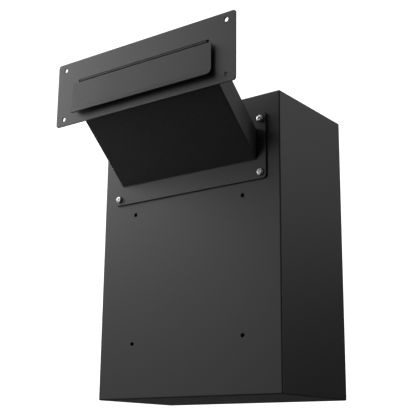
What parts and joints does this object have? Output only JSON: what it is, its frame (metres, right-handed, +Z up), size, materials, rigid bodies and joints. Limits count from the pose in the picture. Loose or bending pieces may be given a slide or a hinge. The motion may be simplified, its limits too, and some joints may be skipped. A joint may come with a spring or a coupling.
{
  "type": "parcel drop box",
  "caption": "Through-the-wall steel drop box: outdoor faceplate with a hinged flap, sloping telescopic chute, and a locked box with a door on the room side.",
  "frame": {"origin": "centre of the box's underside, where it would stand on a shelf", "axes": "+Z up; -Y out through the wall, the way the chute and faceplate point; +Y into the room, the way the door faces; +X to the left of someone facing the door from the room"},
  "size_m": [0.3056, 0.3006, 0.4609],
  "materials": {
    "powder_coat": "fine-textured matt black powder coat",
    "zinc": "bright zinc plating",
    "pin_steel": "drawn wire",
    "lock_chrome": "polished chrome plating",
    "key_metal": "nickel-plated brass, light wear",
    "rubber": "matt moulded rubber"
  },
  "bodies": {
    "box": {"body_shell": "powder_coat", "chute_flange": "powder_coat", "chute_sleeve_lower": "powder_coat", "chute_bolt_1": "zinc", "chute_bolt_2": "zinc", "chute_bolt_3": "zinc", "chute_bolt_4": "zinc", "chute_nut_1": "zinc", "chute_nut_2": "zinc", "chute_nut_3": "zinc", "chute_nut_4": "zinc", "door_hinge_frame_leaf": "powder_coat", "door_hinge_pin": "pin_steel"},
    "mouth": {"chute_sleeve_upper": "powder_coat", "faceplate": "powder_coat", "flap_bumper_left": "rubber", "flap_bumper_right": "rubber", "flap_hinge_fixed_leaf": "powder_coat", "flap_hinge_pin": "pin_steel"},
    "flap": {"flap": "powder_coat", "flap_hinge_moving_leaf": "powder_coat"},
    "door": {"door_panel": "powder_coat", "door_stiffener": "powder_coat", "door_hinge_door_leaf": "powder_coat", "lock_barrel": "lock_chrome", "lock_nut": "zinc"},
    "lock": {"lock_plug": "lock_chrome", "lock_cam": "zinc", "cam_screw": "zinc"},
    "key": {"key": "key_metal"}
  },
  "joints": [
    {"name": "chute_extend", "type": "slide", "parent": "box", "child": "mouth", "axis": [0, -0.7352, 0.6779], "range_m": [0, 0.09]},
    {"name": "flap_hinge", "type": "hinge", "parent": "mouth", "child": "flap", "pos_m": [0, -0.184, 0.42864], "axis": [-1, 0, 0], "range_deg": [0, 105]},
    {"name": "door_hinge", "type": "hinge", "parent": "box", "child": "door", "pos_m": [0.134, 0.0827, 0.195], "axis": [0, 0, -1], "range_deg": [0, 170]},
    {"name": "lock_turn", "type": "hinge", "parent": "door", "child": "lock", "pos_m": [-0.112, 0.0827, 0.195], "axis": [0, 1, 0], "range_deg": [0, 90]},
    {"name": "key_withdraw", "type": "slide", "parent": "lock", "child": "key", "axis": [0, 1, 0], "range_m": [0, 0.022]}
  ]
}
